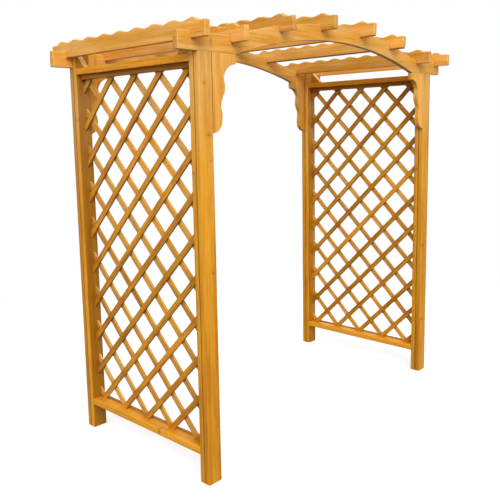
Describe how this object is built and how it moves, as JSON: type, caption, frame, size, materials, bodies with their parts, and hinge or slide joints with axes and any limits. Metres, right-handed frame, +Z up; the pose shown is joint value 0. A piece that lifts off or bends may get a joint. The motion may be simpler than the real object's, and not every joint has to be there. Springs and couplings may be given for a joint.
{
  "type": "arched garden arbor with lattice sides",
  "caption": "Free-standing wooden garden arbor: lattice side panels between posts carry two arched beams with scalloped boards across the top, to walk through.",
  "frame": {"origin": "on the ground, in the middle of the four posts", "axes": "+X along the span of the arched beams, +Y through the walkway from front to back, +Z up"},
  "size_m": [2.202, 1.156, 2.1781],
  "materials": {
    "post_wood": "golden stain, satin",
    "top_wood": "golden stain, satin",
    "rail_wood": "golden stain, satin",
    "lattice_wood": "golden stain, satin"
  },
  "bodies": {
    "root": {"post_front_left": "post_wood", "post_front_right": "post_wood", "post_back_left": "post_wood", "post_back_right": "post_wood", "stile_front_left": "post_wood", "stile_front_right": "post_wood", "stile_back_left": "post_wood", "stile_back_right": "post_wood", "bracket_front_left": "top_wood", "bracket_front_right": "top_wood", "bracket_back_left": "top_wood", "bracket_back_right": "top_wood", "arch_beam_front": "top_wood", "arch_beam_back": "top_wood", "top_board_1": "top_wood", "top_board_2": "top_wood", "top_board_3": "top_wood", "top_board_4": "top_wood", "top_board_5": "top_wood", "top_board_6": "top_wood", "top_board_7": "top_wood", "top_board_8": "top_wood", "rail_top_left": "rail_wood", "rail_top_right": "rail_wood", "rail_bottom_left": "rail_wood", "rail_bottom_right": "rail_wood", "lattice_left": "lattice_wood", "lattice_right": "lattice_wood", "stop_top_left": "rail_wood", "stop_top_right": "rail_wood", "stop_bottom_left": "rail_wood", "stop_bottom_right": "rail_wood", "corner_block_front_left": "rail_wood", "corner_block_front_right": "rail_wood", "corner_block_back_left": "rail_wood", "corner_block_back_right": "rail_wood"}
  },
  "joints": []
}
